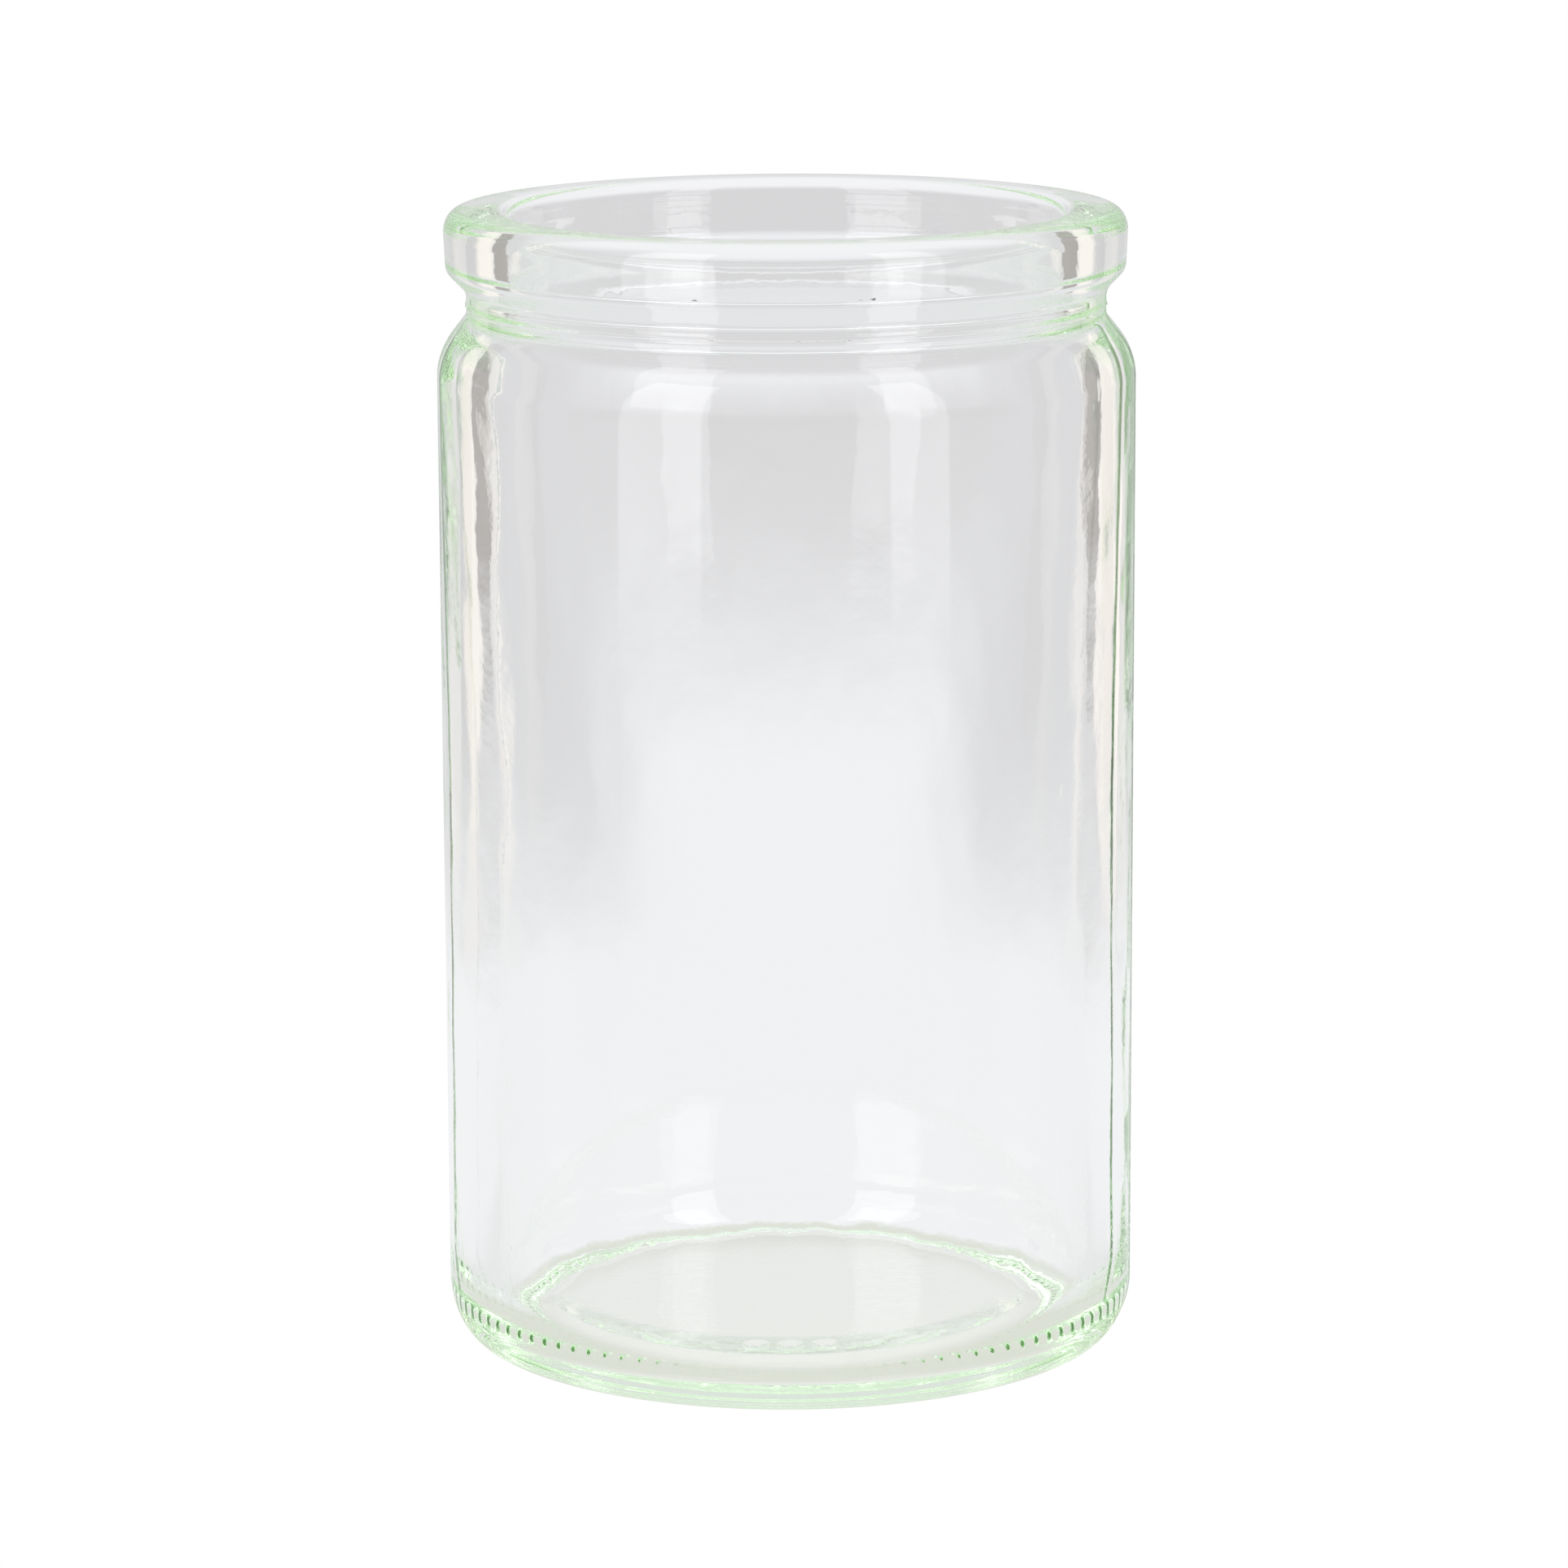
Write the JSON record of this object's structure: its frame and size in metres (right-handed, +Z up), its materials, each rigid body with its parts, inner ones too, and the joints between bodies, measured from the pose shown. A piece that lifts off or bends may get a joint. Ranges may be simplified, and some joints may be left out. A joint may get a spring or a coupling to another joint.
{
  "type": "glass specimen jar",
  "caption": "Clear cylindrical glass jar with a thick flanged lip, a grooved neck for a closure, a rounded heel and a base with a shallow push-up; empty and open.",
  "frame": {"origin": "centre of the bearing ring, on the plane the jar stands on", "axes": "+Z up along the jar's axis, +X to the right and -Y towards the viewer"},
  "size_m": [0.07, 0.07, 0.1153],
  "materials": {
    "clear_glass": "fire-polished clear soda-lime glass with a faint green tint"
  },
  "bodies": {
    "root": {"jar_body": "clear_glass"}
  },
  "joints": []
}
